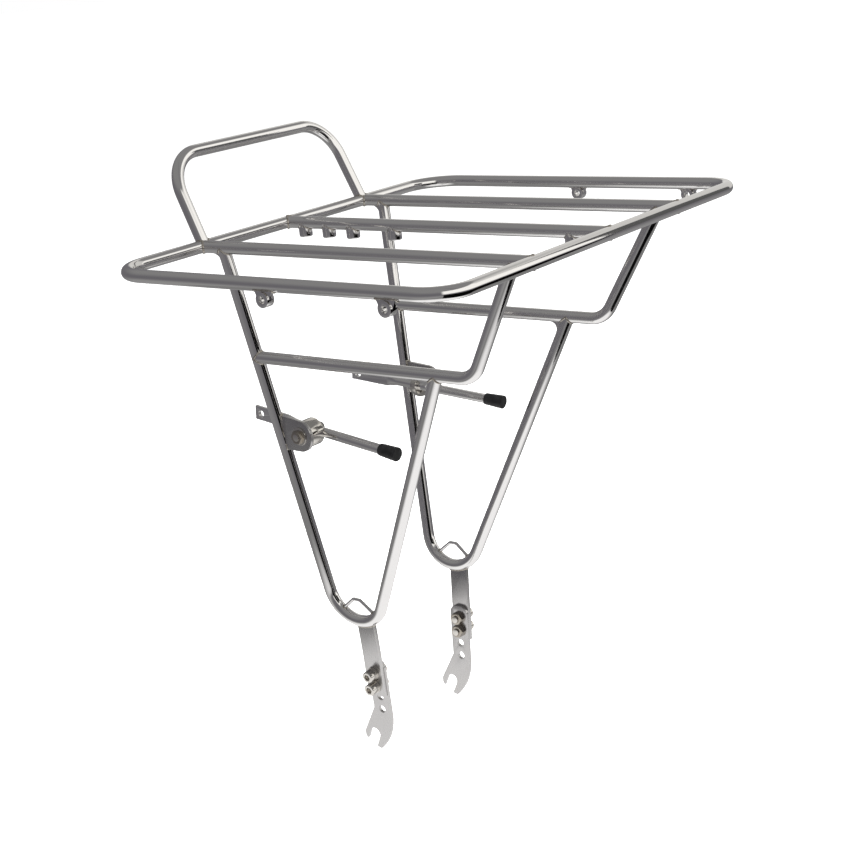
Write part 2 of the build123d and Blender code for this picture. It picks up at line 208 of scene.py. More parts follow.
@dataclass(frozen=True)
class LinishedStrip(Finish):
    """Flat 304 strip off a linishing belt: fine scratches along its length and soft, streaked reflections."""

    scratch_mm: float = 0.35
    scratch_length_mm: float = 14.0
    scratch_height_mm: float = 0.008
    patch_mm: float = 18.0
    smoothest: float = 0.75
    roughest: float = 1.4

    def pattern(self, tree: bpy.types.NodeTree, coordinates: Any) -> dict[str, Any]:
        """Scratches that run up the strip, drawn somewhat coarser than 180 grit so that they show.

        Args:
            tree: the material's node tree.
            coordinates: the piece's own coordinates.

        Returns:
            Shader input to the socket that drives it.
        """
        fine, long = 1 / (self.scratch_mm * MM), 1 / (self.scratch_length_mm * MM)
        stretch = add(tree, "ShaderNodeMapping", {"Vector": coordinates, "Scale": (fine, fine, long)})
        lines = add(
            tree,
            "ShaderNodeTexNoise",
            {"Vector": stretch.outputs["Vector"], "Scale": 1.0, "Detail": 4.0, "Roughness": 0.65},
        )
        patches = add(
            tree,
            "ShaderNodeTexNoise",
            {"Vector": coordinates, "Scale": 1 / (self.patch_mm * MM), "Detail": 2.0},
        )
        worn = add(
            tree,
            "ShaderNodeMath",
            {0: lines.outputs["Fac"], 1: patches.outputs["Fac"]},
            operation="MULTIPLY",
        )
        rough = add(
            tree,
            "ShaderNodeMapRange",
            {
                "Value": worn.outputs["Value"],
                "From Min": 0.1,
                "From Max": 0.5,
                "To Min": self.roughness * self.smoothest,
                "To Max": self.roughness * self.roughest,
            },
        )
        bump = add(
            tree,
            "ShaderNodeBump",
            {"Height": lines.outputs["Fac"], "Strength": 0.6, "Distance": self.scratch_height_mm * MM},
        )
        return {"Roughness": rough.outputs["Result"], "Normal": bump.outputs["Normal"]}


@dataclass(frozen=True)
class TurnedSteel(Finish):
    """Free-cutting stainless turned on a lathe, then tumbled: bright, with faint rings left by the tool."""

    ring_mm: float = 0.6
    ring_length_mm: float = 9.0
    ring_height_mm: float = 0.01
    dent_mm: float = 2.4
    smoothest: float = 0.8
    roughest: float = 1.5

    def pattern(self, tree: bpy.types.NodeTree, coordinates: Any) -> dict[str, Any]:
        """Faint tool rings across the rack, which is how the turned pieces lie, and small tumbling dents.

        Args:
            tree: the material's node tree.
            coordinates: the piece's own coordinates.

        Returns:
            Shader input to the socket that drives it.
        """
        fine, long = 1 / (self.ring_mm * MM), 1 / (self.ring_length_mm * MM)
        stretch = add(tree, "ShaderNodeMapping", {"Vector": coordinates, "Scale": (long, fine, long)})
        rings = add(
            tree,
            "ShaderNodeTexNoise",
            {"Vector": stretch.outputs["Vector"], "Scale": 1.0, "Detail": 2.0},
        )
        dents = add(
            tree,
            "ShaderNodeTexNoise",
            {"Vector": coordinates, "Scale": 1 / (self.dent_mm * MM), "Detail": 2.0},
        )
        both = add(tree, "ShaderNodeMath", {0: rings.outputs["Fac"], 1: dents.outputs["Fac"]}, operation="ADD")
        rough = add(
            tree,
            "ShaderNodeMapRange",
            {
                "Value": dents.outputs["Fac"],
                "From Min": 0.3,
                "From Max": 0.7,
                "To Min": self.roughness * self.smoothest,
                "To Max": self.roughness * self.roughest,
            },
        )
        bump = add(
            tree,
            "ShaderNodeBump",
            {"Height": both.outputs["Value"], "Strength": 0.5, "Distance": self.ring_height_mm * MM},
        )
        return {"Roughness": rough.outputs["Result"], "Normal": bump.outputs["Normal"]}


@dataclass(frozen=True)
class WeldedSteel(Finish):
    """TIG bead in stainless, brushed after welding: bright crests with a straw tint in the valleys."""

    tint: str = "#8F8474"
    tint_mm: float = 2.2

    def pattern(self, tree: bpy.types.NodeTree, coordinates: Any) -> dict[str, Any]:
        """Straw-coloured heat tint in patches.

        Args:
            tree: the material's node tree.
            coordinates: the piece's own coordinates.

        Returns:
            Shader input to the socket that drives it.
        """
        patches = add(
            tree,
            "ShaderNodeTexNoise",
            {"Vector": coordinates, "Scale": 1 / (self.tint_mm * MM), "Detail": 3.0},
        )
        mix = add(
            tree,
            "ShaderNodeMix",
            {0: patches.outputs["Fac"], 6: linear(self.colour), 7: linear(self.tint)},
            data_type="RGBA",
        )
        return {"Base Color": mix.outputs[2]}


@dataclass(frozen=True)
class MouldedRubber(Finish):
    """Black EPDM cap, moulded: matt, with a fine grain and dusty patches where it was handled."""

    metallic: float = 0.0
    grain_mm: float = 0.5
    grain_height_mm: float = 0.03
    dust_mm: float = 6.0
    dust_share: float = 0.6
    dust: str = "#1C1C1E"

    def pattern(self, tree: bpy.types.NodeTree, coordinates: Any) -> dict[str, Any]:
        """Fine mould grain, drawn at half a millimetre so that it shows, with greyer patches.

        Args:
            tree: the material's node tree.
            coordinates: the piece's own coordinates.

        Returns:
            Shader input to the socket that drives it.
        """
        grain, patches = (
            add(tree, "ShaderNodeTexNoise", {"Vector": coordinates, "Scale": 1 / (size * MM), "Detail": 3.0})
            for size in (self.grain_mm, self.dust_mm)
        )
        share = add(
            tree,
            "ShaderNodeMapRange",
            {"Value": patches.outputs["Fac"], "From Min": 0.45, "From Max": 0.75, "To Max": self.dust_share},
        )
        mix = add(
            tree,
            "ShaderNodeMix",
            {0: share.outputs["Result"], 6: linear(self.colour), 7: linear(self.dust)},
            data_type="RGBA",
        )
        bump = add(
            tree,
            "ShaderNodeBump",
            {"Height": grain.outputs["Fac"], "Strength": 0.7, "Distance": self.grain_height_mm * MM},
        )
        return {"Base Color": mix.outputs[2], "Normal": bump.outputs["Normal"]}


BUFFED_TUBE = BuffedTube("buffed_stainless_tube", "#E1DFDE", 0.07)
LINISHED_STRIP = LinishedStrip("linished_stainless_strip", "#BDBBBA", 0.27)
TURNED_STEEL = TurnedSteel("turned_stainless", "#CFCBC5", 0.1)
PLATED_NUT = TurnedSteel("nickel_plated_nut", "#A9A298", 0.15)
WELD_BEAD = WeldedSteel("brushed_tig_bead", "#DEDAD3", 0.2)
CAP_RUBBER = MouldedRubber("moulded_black_rubber", "#09090A", 0.5)


# ---------------- pieces
def put(name: str, data: bpy.types.ID) -> bpy.types.Object:
    """Makes an object and puts it in the scene.

    Args:
        name: the object's name.
        data: its mesh, lamp or camera.

    Returns:
        The object.
    """
    item = bpy.data.objects.new(name, data)
    bpy.context.scene.collection.objects.link(item)
    return item


def place_piece(name: str, mesh: bpy.types.Mesh, body: str, nodes: list[str]) -> bpy.types.Object:
    """Shows a finished mesh as a piece that rides on a body.

    Args:
        name: the piece's name.
        mesh: its mesh, already in place.
        body: the body that it rides on.
        nodes: CAD nodes that it stands for.

    Returns:
        The piece.
    """
    piece = put(name, mesh)
    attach(piece, body)
    if nodes:
        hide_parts(*nodes)
    LOG.info("%s: %d faces on %s", name, len(mesh.polygons), body)
    return piece


def worked_mesh(carrier: bpy.types.Object) -> bpy.types.Mesh:
    """Takes the plain mesh that a carrier's modifiers make, and removes the carrier.

    Args:
        carrier: the passing object.

    Returns:
        A mesh with no modifier.
    """
    graph = bpy.context.evaluated_depsgraph_get()
    made = bpy.data.meshes.new_from_object(carrier.evaluated_get(graph), depsgraph=graph)
    bpy.data.objects.remove(carrier)
    return made


def grown(seed: bpy.types.Mesh, tree: bpy.types.NodeTree, values: dict[str, Any]) -> bpy.types.Mesh:
    """Runs a geometry tree on a mesh and keeps the plain result.

    Args:
        seed: the mesh that goes in.
        tree: the geometry tree.
        values: input name to value.

    Returns:
        A mesh with no modifier.
    """
    carrier = put("carrier", seed)
    modifier = carrier.modifiers.new("grow", "NODES")
    modifier.node_group = tree
    for item in tree.interface.items_tree:
        if item.name in values:
            modifier[item.identifier] = values[item.name]
    return worked_mesh(carrier)


def new_tree(name: str, inputs: dict[str, tuple[str, Any]]) -> tuple[bpy.types.NodeTree, Any]:
    """Starts a geometry tree with named inputs.

    Args:
        name: the tree's name.
        inputs: input name to its socket type and default value.

    Returns:
        The tree and its group input node.
    """
    tree = bpy.data.node_groups.new(name, "GeometryNodeTree")
    tree.interface.new_socket("Geometry", in_out="INPUT", socket_type="NodeSocketGeometry")
    for label, (kind, default) in inputs.items():
        socket = tree.interface.new_socket(label, in_out="INPUT", socket_type=kind)
        if default is not None:
            socket.default_value = default
    tree.interface.new_socket("Geometry", in_out="OUTPUT", socket_type="NodeSocketGeometry")
    return tree, add(tree, "NodeGroupInput")


def line_mesh(
    lines: list[list[Vector]], bends: list[list[float]] | None = None, closed: bool = False
) -> bpy.types.Mesh:
    """A mesh of edges only, with each point's bend radius stored on it.

    Args:
        lines: points of each line, in millimetres.
        bends: bend radius at each point of each line, in millimetres.
        closed: whether each line returns to its start.

    Returns:
        The mesh, in metres.
    """
    points: list[Vector] = []
    edges: list[tuple[int, int]] = []
    radii: list[float] = []
    for number, line in enumerate(lines):
        start = len(points)
        points += [p * MM for p in line]
        radii += [r * MM for r in bends[number]] if bends else [0.0] * len(line)
        edges += [(start + i, start + i + 1) for i in range(len(line) - 1)]
        if closed:
            edges.append((start + len(line) - 1, start))
    mesh = bpy.data.meshes.new("line")
    mesh.from_pydata(points, edges, [])
    attribute = mesh.attributes.new("bend_radius", "FLOAT", "POINT")
    attribute.data.foreach_set("value", radii)
    return mesh


def tube_tree() -> bpy.types.NodeTree:
    """A round tube bent along a line, with its bends rounded to the radius stored at each corner.

    Returns:
        The geometry tree, made once.
    """
    made = bpy.data.node_groups.get("bent_tube")
    if made:
        return made
    tree, given = new_tree(
        "bent_tube",
        {
            "Tube Radius": ("NodeSocketFloat", 0.005),
            "Ring Spacing": ("NodeSocketFloat", 0.002),
            "Sides": ("NodeSocketInt", 40),
            "Finish": ("NodeSocketMaterial", None),
        },
    )
    line = add(tree, "GeometryNodeMeshToCurve", {0: given.outputs["Geometry"]})
    radius = add(tree, "GeometryNodeInputNamedAttribute", {"Name": "bend_radius"}, data_type="FLOAT")
    bent = add(
        tree,
        "GeometryNodeFilletCurve",
        {"Curve": line.outputs[0], "Radius": radius.outputs[0], "Count": BEND_STEPS},
        mode="POLY",
    )
    even = add(
        tree,
        "GeometryNodeResampleCurve",
        {"Curve": bent.outputs[0], "Length": given.outputs["Ring Spacing"]},
        mode="LENGTH",
    )
    section = add(
        tree,
        "GeometryNodeCurvePrimitiveCircle",
        {"Resolution": given.outputs["Sides"], "Radius": given.outputs["Tube Radius"]},
        mode="RADIUS",
    )
    skin = add(
        tree,
        "GeometryNodeCurveToMesh",
        {"Curve": even.outputs[0], "Profile Curve": section.outputs[0], "Fill Caps": True},
    )
    corners = add(tree, "GeometryNodeInputMeshFaceNeighbors")
    wall = add(
        tree,
        "FunctionNodeCompare",
        {2: corners.outputs["Vertex Count"], 3: END_CORNERS},
        data_type="INT",
        operation="LESS_THAN",
    )
    smooth = add(
        tree,
        "GeometryNodeSetShadeSmooth",
        {"Geometry": skin.outputs[0], "Selection": wall.outputs[0], "Shade Smooth": True},
    )
    dressed = add(
        tree,
        "GeometryNodeSetMaterial",
        {"Geometry": smooth.outputs[0], "Material": given.outputs["Finish"]},
    )
    add(tree, "NodeGroupOutput", {0: dressed.outputs[0]})
    return tree


# ---------------- tube frame
@dataclass
class TubeFrame:
    """All the round tube of the rack: the platform, its rails and hoop, the leg loops and the side rails."""

    radius: float = 5.0
    height: float = 427.0
    length: float = 311.0
    width: float = 397.0
    rear: float = -81.0
    front_corner: float = 25.0
    rear_corner: float = 35.0
    rail_spacing: float = 99.5
    hoop_foot: float = 98.0
    hoop_top: float = 95.5
    hoop_rise: float = 69.0
    hoop_setback: float = 31.5
    hoop_bend: float = 33.0
    splay: float = 6.17
    rear_strut_x: float = -58.8
    front_strut_x: float = 130.4
    leg_point_x: float = -8.7
    leg_point_height: float = 39.4
    leg_bend: float = 27.5
    side_rail_drop: float = 89.7
    riser_foot_x: float = 163.8
    riser_top_x: float = 213.5
    riser_bend: float = 20.0
    hook_wire: float = 1.5
    hook_foot_span: float = 17.0
    hook_foot_drop: float = 19.0
    hook_apex_span: float = 3.5
    hook_apex_drop: float = 7.7
    hook_bend: float = 3.0
    hook_ring_spacing: float = 0.5
    hook_sides: int = 20

    @property
    def front(self) -> float:
        """Where the front tube's axis is."""
        return self.rear + self.length

    @property
    def side_rail_height(self) -> float:
        """Height of the side rails' axes."""
        return self.height - self.side_rail_drop

    @property
    def strut_slope(self) -> float:
        """How far the rear strut goes forward for each millimetre down."""
        return (self.leg_point_x - self.rear_strut_x) / (self.height - self.leg_point_height)

    def leg(self, x: float, height: float, side: Side) -> Vector:
        """A place on the leaning plane of a leg."""
        lean = math.tan(math.radians(self.splay)) * (self.height - height)
        return Vector((x, side.value * (self.rail_spacing - lean), height))

    def strut_x(self, height: float) -> float:
        """Where the rear strut's axis is at a height."""
        return self.rear_strut_x + self.strut_slope * (self.height - height)

    @property
    def bend_centre(self) -> tuple[float, float]:
        """Where the middle of the leg's bend is, as x and height."""
        rear = math.atan(self.strut_slope)
        run = self.side_rail_height - self.leg_point_height
        front = math.atan((self.front_strut_x - self.leg_point_x) / run)
        reach = self.leg_bend / math.sin((rear + front) / 2)
        lean = (front - rear) / 2
        return self.leg_point_x + reach * math.sin(lean), self.leg_point_height + reach * math.cos(lean)

    def in_bend(self, across: float, up: float, side: Side) -> Vector:
        """A place on the leg's plane, measured from the middle of its bend."""
        x, height = self.bend_centre
        return self.leg(x + across, height + up * math.cos(math.radians(self.splay)), side)

    def tube(self, name: str, line: list[Vector], bends: list[float], closed: bool = False) -> None:
        """Builds one tube in place of its CAD node.

        Args:
            name: the CAD node's name.
            line: corners of its axis.
            bends: bend radius at each corner.
            closed: whether it is a ring.
        """
        mesh = grown(
            line_mesh([line], [bends], closed),
            tube_tree(),
            {"Tube Radius": self.radius * MM, "Finish": BUFFED_TUBE.material()},
        )
        place_piece(f"{name}_tube", mesh, "frame", [name])

    def hook(self, side: Side) -> None:
        """Builds the bent wire hook inside a leg's bend.

        Args:
            side: the leg's side.
        """
        line = [
            self.in_bend(-self.hook_foot_span, -self.hook_foot_drop, side),
            self.in_bend(-self.hook_apex_span, -self.hook_apex_drop, side),
            self.in_bend(self.hook_apex_span, -self.hook_apex_drop, side),
            self.in_bend(self.hook_foot_span, -self.hook_foot_drop, side),
        ]
        mesh = grown(
            line_mesh([line], [[0.0, self.hook_bend, self.hook_bend, 0.0]]),
            tube_tree(),
            {
                "Tube Radius": self.hook_wire * MM,
                "Ring Spacing": self.hook_ring_spacing * MM,
                "Sides": self.hook_sides,
                "Finish": BUFFED_TUBE.material(),
            },
        )
        node = f"strap_hook_{side.word}"
        place_piece(f"{node}_wire", mesh, "frame", [node])

    def build(self) -> None:
        """Builds every tube."""
        half = self.width / 2
        ring = [
            Vector((self.front, -half, self.height)),
            Vector((self.front, half, self.height)),
            Vector((self.rear, half, self.height)),
            Vector((self.rear, -half, self.height)),
        ]
        corners = [self.front_corner, self.front_corner, self.rear_corner, self.rear_corner]
        self.tube("platform_loop", ring, corners, closed=True)
        spacing = self.rail_spacing
        for name, y in (("rail_left", spacing), ("rail_centre", 0.0), ("rail_right", -spacing)):
            ends = [Vector((self.rear, y, self.height)), Vector((self.front, y, self.height))]
            self.tube(name, ends, [0.0, 0.0])
        top_x, top_height = self.rear - self.hoop_setback, self.height + self.hoop_rise
        arch = [
            Vector((self.rear, self.hoop_foot, self.height)),
            Vector((top_x, self.hoop_top, top_height)),
            Vector((top_x, -self.hoop_top, top_height)),
            Vector((self.rear, -self.hoop_foot, self.height)),
        ]
        self.tube("rear_hoop", arch, [0.0, self.hoop_bend, self.hoop_bend, 0.0])
        for side in Side:
            loop = [
                self.leg(self.rear_strut_x, self.height, side),
                self.leg(self.leg_point_x, self.leg_point_height, side),
                self.leg(self.front_strut_x, self.side_rail_height, side),
            ]
            self.tube(f"leg_{side.word}", loop, [0.0, self.leg_bend, 0.0])
            rail = [
                self.leg(self.strut_x(self.side_rail_height), self.side_rail_height, side),
                self.leg(self.riser_foot_x, self.side_rail_height, side),
                self.leg(self.riser_top_x, self.height, side),
            ]
            self.tube(f"side_rail_{side.word}", rail, [0.0, self.riser_bend, 0.0])
            self.hook(side)


# ---------------- welds
def bead_tree() -> bpy.types.NodeTree:
    """A welded bead along a line: a round ridge whose width swells with each dab of the filler rod.

    Returns:
        The geometry tree, made once.
    """
    made = bpy.data.node_groups.get("tig_bead")
    if made:
        return made
    tree, given = new_tree(
        "tig_bead",
        {
            "Bead Radius": ("NodeSocketFloat", 0.0012),
            "Dab Pitch": ("NodeSocketFloat", 0.0011),
            "Swell": ("NodeSocketFloat", 0.12),
            "Finish": ("NodeSocketMaterial", None),
        },
    )
    line = add(tree, "GeometryNodeMeshToCurve", {0: given.outputs["Geometry"]})
    even = add(
        tree,
        "GeometryNodeResampleCurve",
        {"Curve": line.outputs[0], "Length": BEAD_STEP},
        mode="LENGTH",
    )
    place = add(tree, "GeometryNodeSplineParameter")
    dabs = add(
        tree,
        "ShaderNodeMath",
        {0: place.outputs["Length"], 1: given.outputs["Dab Pitch"]},
        operation="DIVIDE",
    )
    turns = add(tree, "ShaderNodeMath", {0: dabs.outputs[0], 1: 2 * math.pi}, operation="MULTIPLY")
    wave = add(tree, "ShaderNodeMath", {0: turns.outputs[0]}, operation="SINE")
    width = add(
        tree,
        "ShaderNodeMath",
        {0: wave.outputs[0], 1: given.outputs["Swell"], 2: 1.0},
        operation="MULTIPLY_ADD",
    )
    swollen = add(tree, "GeometryNodeSetCurveRadius", {"Curve": even.outputs[0], "Radius": width.outputs[0]})
    section = add(
        tree,
        "GeometryNodeCurvePrimitiveCircle",
        {"Resolution": BEAD_SIDES, "Radius": given.outputs["Bead Radius"]},
        mode="RADIUS",
    )
    skin = add(
        tree,
        "GeometryNodeCurveToMesh",
        {"Curve": swollen.outputs[0], "Profile Curve": section.outputs[0], "Fill Caps": True},
    )
    if "Scale" in skin.inputs:
        tree.links.new(width.outputs[0], skin.inputs["Scale"])
    smooth = add(tree, "GeometryNodeSetShadeSmooth", {"Geometry": skin.outputs[0], "Shade Smooth": True})
    dressed = add(
        tree,
        "GeometryNodeSetMaterial",
        {"Geometry": smooth.outputs[0], "Material": given.outputs["Finish"]},
    )
    add(tree, "NodeGroupOutput", {0: dressed.outputs[0]})
    return tree


def cope_ring(
    place: Vector, branch: Vector, main: Vector, radius: float, branch_radius: float | None = None
) -> list[Vector]:
    """The line where a round end meets the side of a tube whose axis it crosses.

    Args:
        place: where the two axes cross.
        branch: direction that the end comes from.
        main: direction of the tube that it meets.
        radius: radius of that tube.
        branch_radius: radius of the end, if it isn't the same.

    Returns:
        Points round the line.
    """
    along, axis = branch.normalized(), main.normalized()
    first = along.orthogonal().normalized()
    second = along.cross(first)
    flat = along - axis * along.dot(axis)
    ring = []
    for step in range(COPE_STEPS):
        turn = 2 * math.pi * step / COPE_STEPS
        start = (first * math.cos(turn) + second * math.sin(turn)) * (branch_radius or radius)
        out = start - axis * start.dot(axis)
        spread = out.dot(flat) ** 2 - flat.length_squared * (out.length_squared - radius**2)
        reach = (math.sqrt(max(spread, 0.0)) - out.dot(flat)) / flat.length_squared
        ring.append(place + start + along * reach)
    return ring


def oblong(half: float, thin: float, steps: int) -> list[tuple[float, float]]:
    """Points round an oblong about its middle.

    Args:
        half: half its width.
        thin: half its thickness.
        steps: points on each edge.

    Returns:
        Each point's place across the width and through the thickness.
    """
    corners = [(-half, -thin), (half, -thin), (half, thin), (-half, thin)]
    return [
        (x0 + (x1 - x0) * step / steps, y0 + (y1 - y0) * step / steps)
        for (x0, y0), (x1, y1) in zip(corners, corners[1:] + corners[:1])
        for step in range(steps)
    ]


@dataclass
class TigWelds:
    """The beads that hold the frame together, each laid along the line where two pieces meet."""

    tubes: TubeFrame
    bead: float = 0.85
    small_bead: float = 0.7
    boss_radius: float = 5.5
    boss_places: tuple[float, ...] = (-62.0, -36.5, -11.0, 32.0, 197.0)
    eye_places: tuple[float, ...] = (77.5, 184.0)
    eye_offset: float = 2.4
    neck_half_width: float = 8.5
    neck_half_thickness: float = 1.5
    bar_x: float = 12.2
    bar_half_width: float = 8.5
    bar_half_thickness: float = 2.0
    clamp_height: float = 273.1
    bracket_top: float = 15.5
    bracket_bottom: float = -12.8
    bracket_half_thickness: float = 1.5
    tack_length: float = 4.0
    boss_steps: int = 60
    boss_reach: float = 0.96
    neck_steps: int = 12
    bar_steps: int = 14
    tack_steps: int = 6
    tack_reach: float = 0.95

    def tube_ends(self) -> list[list[Vector]]:
        """Rings where the tubes' ends are coped to other tubes.

        Returns:
            One closed line for each end.
        """
        t = self.tubes
        ahead, across = Vector((1, 0, 0)), Vector((0, 1, 0))
        rings = []
        for y in (-t.rail_spacing, 0.0, t.rail_spacing):
            rings.append(cope_ring(Vector((t.rear, y, t.height)), ahead, across, t.radius))
            rings.append(cope_ring(Vector((t.front, y, t.height)), -ahead, across, t.radius))
        for side in Side:
            foot = Vector((t.rear, side.value * t.hoop_foot, t.height))
            top = Vector((t.rear - t.hoop_setback, side.value * t.hoop_top, t.height + t.hoop_rise))
            point = t.leg(t.leg_point_x, t.leg_point_height, side)
            rear_top = t.leg(t.rear_strut_x, t.height, side)
            front_top = t.leg(t.front_strut_x, t.side_rail_height, side)
            start = t.leg(t.strut_x(t.side_rail_height), t.side_rail_height, side)
            riser_foot = t.leg(t.riser_foot_x, t.side_rail_height, side)
            riser_top = t.leg(t.riser_top_x, t.height, side)
            for place, branch, main in (
                (foot, top - foot, across),
                (rear_top, point - rear_top, ahead),
                (front_top, point - front_top, ahead),
                (start, ahead, point - rear_top),
                (riser_top, riser_foot - riser_top, ahead),
            ):
                rings.append(cope_ring(place, branch, main, t.radius))
        return rings

    def boss_ring(self, x: float) -> list[Vector]:
        """The line round the top of a boss, which is a little wider than the rail that it hangs from.

        Args:
            x: where the boss is.

        Returns:
            Points round the line.
        """
        t = self.tubes
        ring = []
        for step in range(self.boss_steps):
            turn = 2 * math.pi * step / self.boss_steps
            y = self.boss_reach * t.radius * math.sin(turn)
            drop = math.sqrt(t.radius**2 - y**2)
            ring.append(Vector((x + self.boss_radius * math.cos(turn), y, t.height - drop)))
        return ring

    def neck_ring(self, x: float, side: Side) -> list[Vector]:
        """The line round the neck of a strap eye, on the underside of the side tube.

        Args:
            x: where the eye is.
            side: which side tube it hangs from.

        Returns:
            Points round the line.
        """
        t = self.tubes
        ring = []
        for along, across in oblong(self.neck_half_width, self.neck_half_thickness, self.neck_steps):
            off = self.eye_offset + across
            drop = math.sqrt(t.radius**2 - off**2)
            ring.append(side.of(Vector((x + along, t.width / 2 + off, t.height - drop))))
        return ring

    def bar_ring(self, side: Side) -> list[Vector]:
        """The line round the top of a foot bar, on the outside of the leg's bend.

        Args:
            side: the leg's side.

        Returns:
            Points round the line.
        """
        t = self.tubes
        centre_x = t.bend_centre[0]
        normal = Vector((0, math.cos(math.radians(t.splay)), -math.sin(math.radians(t.splay))))
        normal.y *= side.value
        ring = []
        for along, off in oblong(self.bar_half_width, self.bar_half_thickness, self.bar_steps):
            across = self.bar_x - centre_x + along
            reach = t.leg_bend + math.sqrt(t.radius**2 - off**2)
            ring.append(t.in_bend(across, -math.sqrt(reach**2 - across**2), side) + normal * off)
        return ring

    def hook_rings(self, side: Side) -> list[list[Vector]]:
        """The rings at both feet of the wire hook.

        Args:
            side: the leg's side.

        Returns:
            One closed line for each foot.
        """
        t = self.tubes
        rings = []
        for end in (-1, 1):
            run = (t.hook_foot_span - t.hook_apex_span, t.hook_apex_drop - t.hook_foot_drop)
            length = math.hypot(*run)
            run = (run[0] / length, run[1] / length)
            toward = t.hook_foot_span * run[0] - t.hook_foot_drop * run[1]
            spare = t.hook_foot_span**2 + t.hook_foot_drop**2 - t.leg_bend**2
            further = math.sqrt(toward**2 - spare) - toward
            across, up = t.hook_foot_span + run[0] * further, run[1] * further - t.hook_foot_drop
            place = t.in_bend(end * across, up, side)
            branch = t.in_bend(end * t.hook_apex_span, -t.hook_apex_drop, side) - place
            tangent = t.in_bend(end * (across - up), up + across, side) - place
            rings.append(cope_ring(place, branch, tangent, t.radius, t.hook_wire))
        return rings

    def bracket_tacks(self, side: Side) -> list[list[Vector]]:
        """Two short beads that wrap the ends of the bracket's seat on the rear strut.

        Args:
            side: the bracket's side.

        Returns:
            One open line for each bead.
        """
        t = self.tubes
        tacks = []
        middle = t.leg(0.0, self.clamp_height, Side.LEFT).y
        for end, inward in ((self.bracket_top, -1), (self.bracket_bottom, 1)):
            tack = []
            for face in (-1, 1):
                steps = range(self.tack_steps, -1, -1)
                run = [(end + inward * self.tack_length * step / self.tack_steps, face) for step in steps]
                tack += run if face < 0 else run[::-1]
            line = []
            for up, face in tack:
                z = self.clamp_height + up
                off = middle + face * self.bracket_half_thickness - t.leg(0.0, z, Side.LEFT).y
                x = t.strut_x(z) + math.sqrt(t.radius**2 - min(abs(off), t.radius * self.tack_reach) ** 2)
                line.append(side.of(Vector((x, middle + face * self.bracket_half_thickness, z))))
            tacks.append(line)
        return tacks

    def lay(self, name: str, lines: list[list[Vector]], bead: float, closed: bool) -> None:
        """Lays beads along lines, as one piece.

        Args:
            name: the piece's name.
            lines: the lines.
            bead: the bead's radius.
            closed: whether each line returns to its start.
        """
        mesh = grown(
            line_mesh(lines, closed=closed),
            bead_tree(),
            {"Bead Radius": bead * MM, "Finish": WELD_BEAD.material()},
        )
        place_piece(name, mesh, "frame", [])

    def build(self) -> None:
        """Lays every bead."""
        small = [self.boss_ring(x) for x in self.boss_places]
        tacks = []
        for side in Side:
            small += [self.neck_ring(x, side) for x in self.eye_places]
            small += [self.bar_ring(side), *self.hook_rings(side)]
            tacks += self.bracket_tacks(side)
        self.lay("tube_beads", self.tube_ends(), self.bead, True)
        self.lay("fitting_beads", small, self.small_bead, True)
        self.lay("bracket_tacks", tacks, self.bead, False)


# ---------------- edge-softened CAD shapes
@dataclass
class SoftenedParts:
    """Flat and turned parts: the CAD shape with its edges broken, as deburring and tumbling leave them."""

    edge: float = 0.3
    fine_edge: float = 0.15
    edge_steps: int = 3
    crease: float = 28.0
    merge_distance: float = 0.002
    flat_angle: float = 0.4

    def soften(self, node: str, body: str, finish: Finish, edge: float | None = None) -> None:
        """Builds a copy of a CAD node with rounded edges and stands it in the node's place.

        Args:
            node: the CAD node's name.
            body: the body that it rides on.
            finish: its finish.
            edge: radius of its edges, if not the usual one.
        """
        source = bmesh.new()
        source.from_mesh(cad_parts[node].data)
        bmesh.ops.remove_doubles(source, verts=source.verts, dist=self.merge_distance * MM)
        bmesh.ops.dissolve_limit(
            source,
            angle_limit=math.radians(self.flat_angle),
            verts=source.verts,
            edges=source.edges,
            use_dissolve_boundaries=False,
        )
        mesh = bpy.data.meshes.new(node)
        source.to_mesh(mesh)
        source.free()
        carrier = put("carrier", mesh)
        bevel = carrier.modifiers.new("edges", "BEVEL")
        bevel.width = (edge or self.edge) * MM
        bevel.segments = self.edge_steps
        bevel.limit_method = "ANGLE"
        bevel.angle_limit = math.radians(self.crease)
        bevel.use_clamp_overlap = True
        bevel.harden_normals = False
        made = worked_mesh(carrier)
        made.materials.clear()
        made.materials.append(finish.material())
        made.polygons.foreach_set("use_smooth", [True] * len(made.polygons))
        made.set_sharp_from_angle(angle=math.radians(self.crease))
        place_piece(f"{node}_part", made, body, [node])

    def build(self) -> None:
        """Builds every flat, turned and moulded part."""
        for side in Side:
            word = side.word
            for node in ("foot_bar", "dropout_plate", "clamp_bracket"):
                self.soften(f"{node}_{word}", "frame", LINISHED_STRIP)
            for node in ("rear_gusset", "front_gusset", "strap_eye_rear", "strap_eye_front"):
                self.soften(f"{node}_{word}", "frame", BUFFED_TUBE)
            for node in ("plate_screws", "plate_washers", "plate_spring_washers"):
                self.soften(f"{node}_{word}", "frame", TURNED_STEEL, self.fine_edge)
            self.soften(f"plate_nuts_{word}", "frame", PLATED_NUT, self.fine_edge)
            for node in ("eye_bolt", "clamp_collar", "clamp_washer"):
                self.soften(f"{node}_{word}", f"clamp_{word}", TURNED_STEEL)
            self.soften(f"clamp_nut_{word}", f"clamp_{word}", PLATED_NUT, self.fine_edge)
            self.soften(f"stay_{word}", f"stay_rod_{word}", BUFFED_TUBE)
            self.soften(f"stay_cap_{word}", f"stay_rod_{word}", CAP_RUBBER)
        for node in ("crown_boss", "lamp_boss", "rail_boss_1", "rail_boss_2", "rail_boss_3"):
            self.soften(node, "frame", BUFFED_TUBE)


